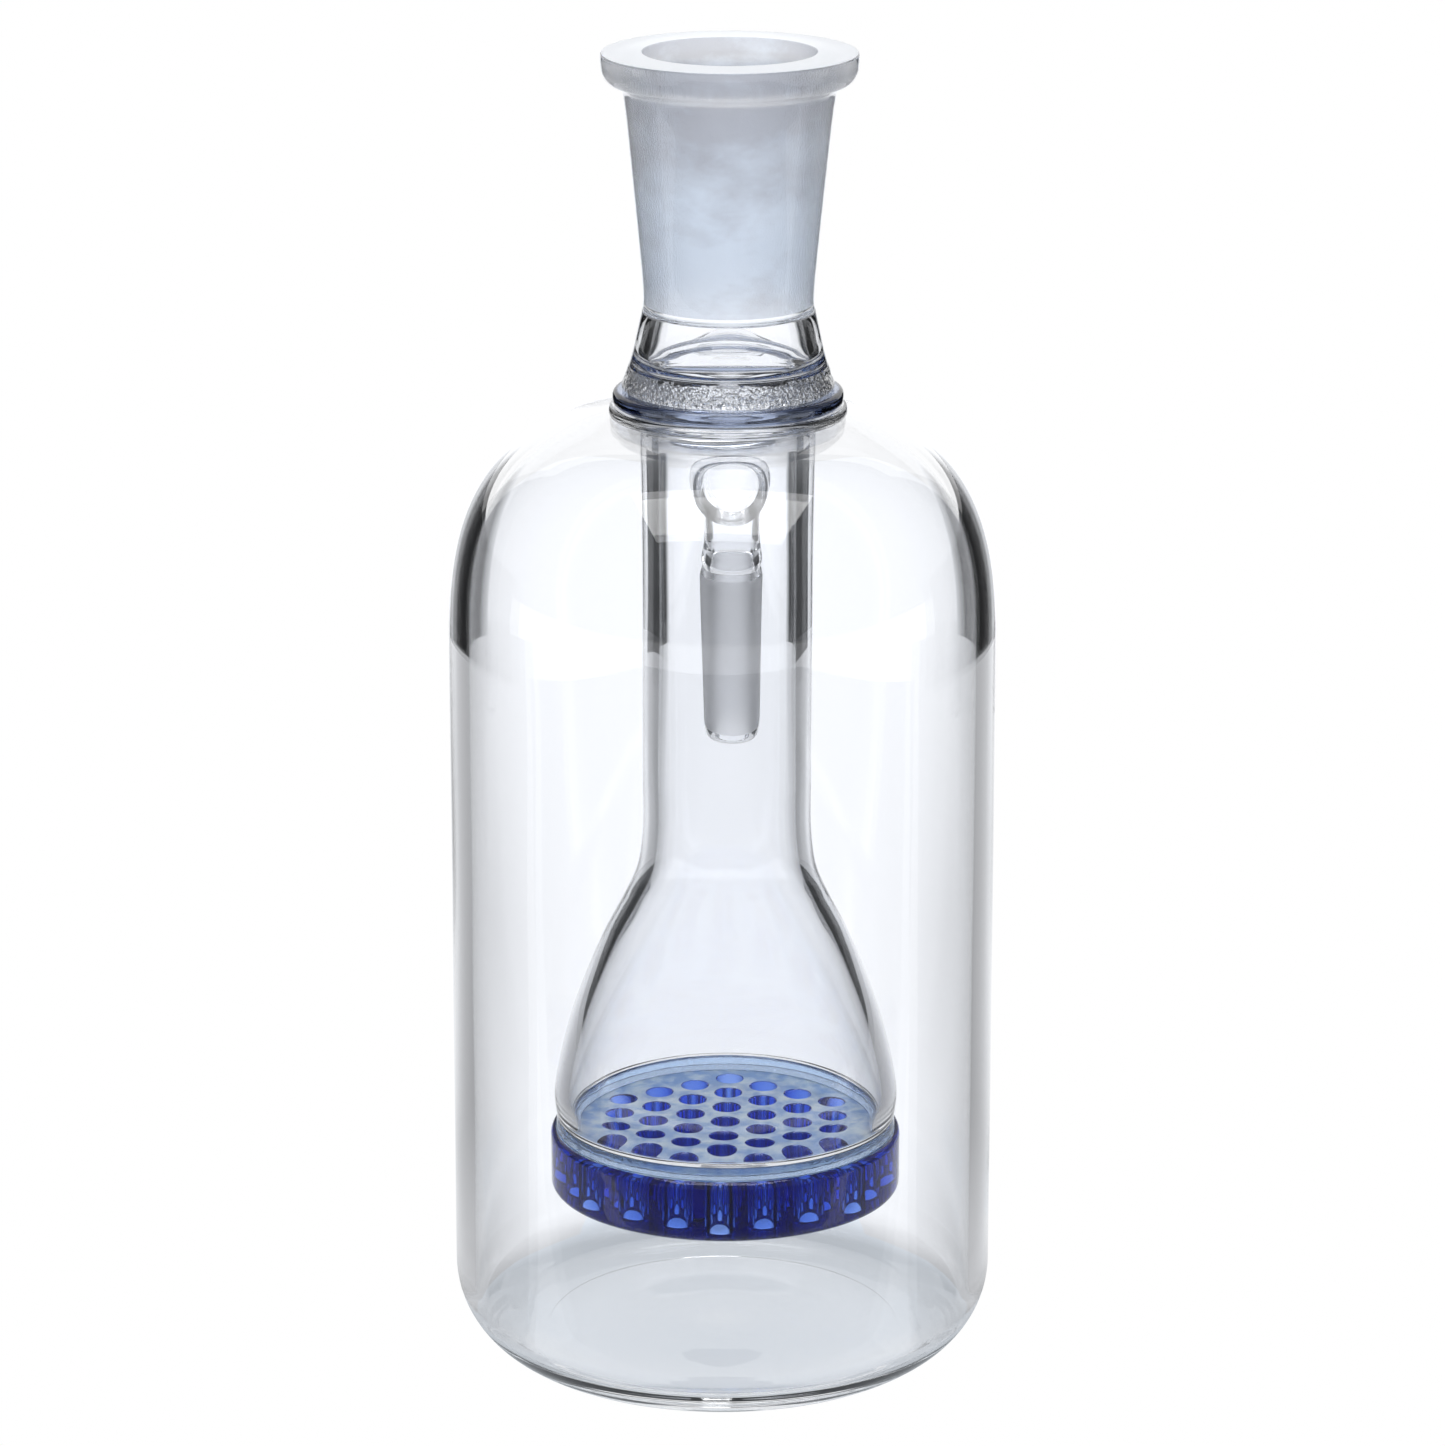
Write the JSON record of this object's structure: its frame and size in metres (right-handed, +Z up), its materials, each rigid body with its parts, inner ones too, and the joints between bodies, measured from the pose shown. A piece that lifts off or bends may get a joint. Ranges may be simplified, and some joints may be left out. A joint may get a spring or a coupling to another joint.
{
  "type": "glass percolator attachment",
  "caption": "Clear bottle-shaped glass chamber with a ground top joint, inner tube, bell and blue honeycomb disc, and a bent rear outlet arm ending in a ground male joint.",
  "frame": {"origin": "centre of the flat underside of the chamber, on the chamber's axis", "axes": "+Z up along the chamber's axis, +Y towards the outlet arm, +X to the right when the arm points away"},
  "size_m": [0.0608, 0.0838, 0.149],
  "materials": {
    "clear_glass": "polished",
    "frosted_glass": "ground, matt",
    "blue_glass": "polished"
  },
  "bodies": {
    "root": {"chamber_body": "clear_glass", "neck_seat_ring": "clear_glass", "blue_seal_ring": "blue_glass", "neck_weld_bead": "clear_glass", "socket_joint": "frosted_glass", "inner_downtube": "clear_glass", "diffuser_bell": "clear_glass", "bell_disc_weld": "clear_glass", "honeycomb_disc": "blue_glass", "outlet_weld_bead": "clear_glass", "outlet_elbow": "clear_glass", "joint_weld_ring": "clear_glass", "male_joint": "frosted_glass"}
  },
  "joints": []
}
